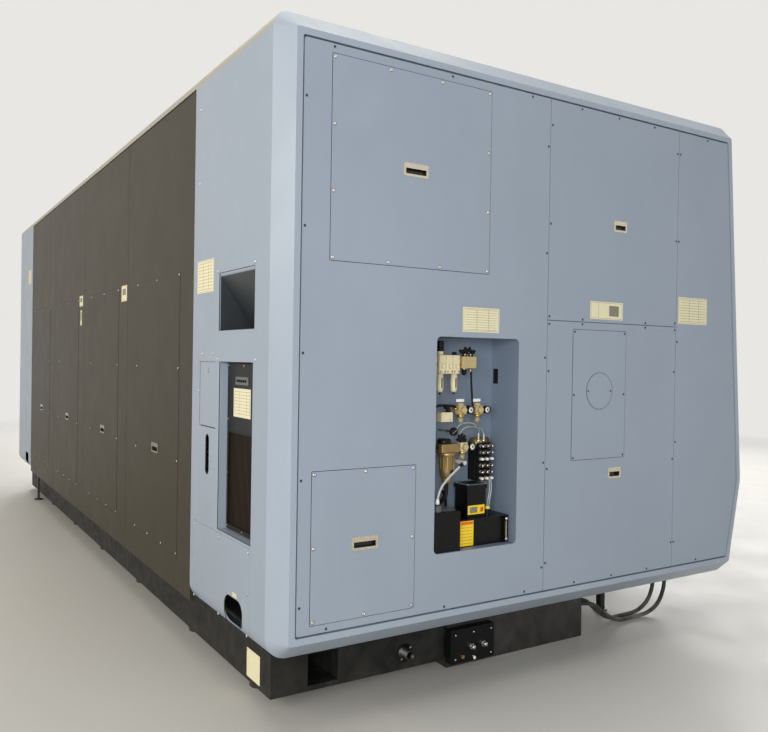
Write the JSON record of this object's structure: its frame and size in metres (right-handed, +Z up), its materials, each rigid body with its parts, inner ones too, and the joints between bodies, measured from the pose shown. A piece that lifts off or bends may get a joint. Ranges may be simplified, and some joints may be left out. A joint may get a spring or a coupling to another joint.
{
  "type": "multi-axis cnc lathe",
  "caption": "Fully enclosed turning and milling centre with bevelled end caps, flush service panels, an open pneumatic bay, a sliding front door and a swivelling operator panel.",
  "frame": {"origin": "on the floor under the middle of the machine", "axes": "+X along the machine away from the service end, +Y to the rear, +Z up"},
  "size_m": [7.9, 3.394, 3.21],
  "materials": {
    "cabinet_blue": "satin powder coat",
    "cap_blue": "satin powder coat",
    "panel_charcoal": "satin powder coat",
    "roof_grey": "satin powder coat",
    "frame_grey": "matt paint",
    "bed_black": "painted casting",
    "casting_white": "painted casting",
    "tank_black": "satin paint",
    "ground_steel": "ground",
    "chuck_steel": "ground and blackened",
    "handle_chrome": "bright frame round a black cup",
    "window_glass": "laminated",
    "bay_cream": "satin",
    "bay_metal": "cast",
    "knob_plastic": "moulded",
    "manifold_black": "moulded",
    "hose_clear": "braided",
    "cable_rubber": "matt",
    "panel_grey": "satin",
    "stop_red": "gloss",
    "start_green": "gloss",
    "knob_black": "moulded",
    "cooler_dark": "satin",
    "galvanised": "galvanised sheet"
  },
  "bodies": {
    "machine": {"bed": "bed_black", "guide_rails": "ground_steel", "levelling_feet": "tank_black", "coolant_tank": "tank_black", "headstock": "casting_white", "chip_pan": "galvanised", "enclosure_frame": "frame_grey", "left_end_cap": "cap_blue", "left_rear_panel": "cabinet_blue", "left_upper_panel": "cabinet_blue", "left_lower_panel": "cabinet_blue", "left_front_panel": "cabinet_blue", "upper_access_plate": "cabinet_blue", "lower_access_plate": "cabinet_blue", "inspection_plate": "cabinet_blue", "round_cover": "cabinet_blue", "pull_handles": "handle_chrome", "right_end_cap": "cap_blue", "right_end_panels": "cabinet_blue", "rear_left_column": "cabinet_blue", "rear_right_column": "cabinet_blue", "rear_panels": "panel_charcoal", "rear_access_plates": "panel_charcoal", "cable_cover": "cabinet_blue", "panel_cooler": "cooler_dark", "roof_panels": "roof_grey", "front_covers": "cabinet_blue", "front_walls": "cabinet_blue", "bay_box": "cabinet_blue", "air_service_unit": "bay_metal", "pressure_regulators": "bay_cream", "valve_manifold": "manifold_black", "lube_unit": "tank_black", "bay_hose": "hose_clear", "power_cable_1": "cable_rubber", "power_cable_2": "cable_rubber"},
    "spindle": {"main_spindle": "chuck_steel"},
    "jaw_1": {"chuck_jaw_1": "ground_steel"},
    "jaw_2": {"chuck_jaw_2": "ground_steel"},
    "jaw_3": {"chuck_jaw_3": "ground_steel"},
    "tailstock_body": {"tailstock": "casting_white"},
    "quill": {"tailstock_quill": "ground_steel"},
    "centre": {"live_centre": "ground_steel"},
    "saddle": {"column_saddle": "casting_white"},
    "upright": {"column": "casting_white"},
    "ram_body": {"ram": "casting_white"},
    "head": {"milling_head": "casting_white"},
    "tool": {"tool_spindle": "ground_steel"},
    "magazine": {"tool_magazine": "ground_steel"},
    "hatch": {"service_hatch": "cabinet_blue"},
    "latch": {"hatch_latch": "ground_steel"},
    "door": {"sliding_door": "cap_blue", "door_window": "window_glass"},
    "pendant": {"operator_panel": "panel_grey"},
    "stop": {"emergency_stop": "stop_red"},
    "start": {"start_button": "start_green"},
    "feed": {"feed_knob": "knob_black"},
    "reg_knob_1": {"regulator_knob_1": "knob_plastic"},
    "reg_knob_2": {"regulator_knob_2": "knob_plastic"},
    "reg_knob_3": {"regulator_knob_3": "knob_plastic"}
  },
  "joints": [
    {"name": "spindle_turn", "type": "hinge", "parent": "machine", "child": "spindle", "pos_m": [-2, -0.62, 1.25], "axis": [1, 0, 0], "continuous": true},
    {"name": "jaw_1_grip", "type": "slide", "parent": "spindle", "child": "jaw_1", "axis": [0, 0, 1], "range_m": [0, 0.008]},
    {"name": "jaw_2_grip", "type": "slide", "parent": "spindle", "child": "jaw_2", "axis": [0, -0.866, -0.5], "range_m": [0, 0.008]},
    {"name": "jaw_3_grip", "type": "slide", "parent": "spindle", "child": "jaw_3", "axis": [0, 0.866, -0.5], "range_m": [0, 0.008]},
    {"name": "tailstock_travel", "type": "slide", "parent": "machine", "child": "tailstock_body", "axis": [1, 0, 0], "range_m": [-1.4, 0]},
    {"name": "quill_travel", "type": "slide", "parent": "tailstock_body", "child": "quill", "axis": [1, 0, 0], "range_m": [-0.2, 0]},
    {"name": "centre_turn", "type": "hinge", "parent": "quill", "child": "centre", "pos_m": [1.7, -0.62, 1.25], "axis": [1, 0, 0], "continuous": true},
    {"name": "column_travel", "type": "slide", "parent": "machine", "child": "saddle", "axis": [1, 0, 0], "range_m": [-1.1, 1.1]},
    {"name": "cross_travel", "type": "slide", "parent": "saddle", "child": "upright", "axis": [0, 1, 0], "range_m": [-0.125, 0.125]},
    {"name": "ram_travel", "type": "slide", "parent": "upright", "child": "ram_body", "axis": [0, 0, -1], "range_m": [-0.1, 0.7]},
    {"name": "head_swivel", "type": "hinge", "parent": "ram_body", "child": "head", "pos_m": [-0.3, -0.4, 2], "axis": [0, 1, 0], "range_deg": [-120, 120]},
    {"name": "tool_turn", "type": "hinge", "parent": "head", "child": "tool", "pos_m": [-0.3, -0.6146, 1.65], "axis": [0, 0, 1], "continuous": true},
    {"name": "magazine_turn", "type": "hinge", "parent": "machine", "child": "magazine", "pos_m": [-3.29, 0.7, 2.3], "axis": [1, 0, 0], "continuous": true},
    {"name": "hatch_hinge", "type": "hinge", "parent": "machine", "child": "hatch", "pos_m": [-3.02, 1.688, 1.306], "axis": [-1, 0, 0], "range_deg": [0, 90]},
    {"name": "latch_turn", "type": "hinge", "parent": "hatch", "child": "latch", "pos_m": [-3.02, 1.694, 1.595], "axis": [0, -1, 0], "range_deg": [0, 90]},
    {"name": "door_slide", "type": "slide", "parent": "machine", "child": "door", "axis": [1, 0, 0], "range_m": [0, 1.85]},
    {"name": "panel_swing", "type": "hinge", "parent": "machine", "child": "pendant", "pos_m": [2.83, -1.545, 1.53], "axis": [0, 0, 1], "range_deg": [0, 90]},
    {"name": "stop_push", "type": "slide", "parent": "pendant", "child": "stop", "axis": [0, 1, 0], "range_m": [0, 0.004], "stiffness_N_per_m": 4000},
    {"name": "start_push", "type": "slide", "parent": "pendant", "child": "start", "axis": [0, 1, 0], "range_m": [0, 0.003], "stiffness_N_per_m": 1500},
    {"name": "feed_turn", "type": "hinge", "parent": "pendant", "child": "feed", "pos_m": [2.835, -1.6, 1.39], "axis": [0, 1, 0], "range_deg": [0, 270]},
    {"name": "reg_1_turn", "type": "hinge", "parent": "machine", "child": "reg_knob_1", "pos_m": [-3.863, 0.655, 1.417], "axis": [1, 0, 0], "range_deg": [-180, 180]},
    {"name": "reg_2_turn", "type": "hinge", "parent": "machine", "child": "reg_knob_2", "pos_m": [-3.863, 0.548, 1.417], "axis": [1, 0, 0], "range_deg": [-180, 180]},
    {"name": "reg_3_turn", "type": "hinge", "parent": "machine", "child": "reg_knob_3", "pos_m": [-3.863, 0.642, 1.23], "axis": [1, 0, 0], "range_deg": [-180, 180]}
  ],
  "couplings": [
    {"joint": "jaw_2_grip", "follows": "jaw_1_grip", "ratio": 1},
    {"joint": "jaw_3_grip", "follows": "jaw_1_grip", "ratio": 1}
  ]
}
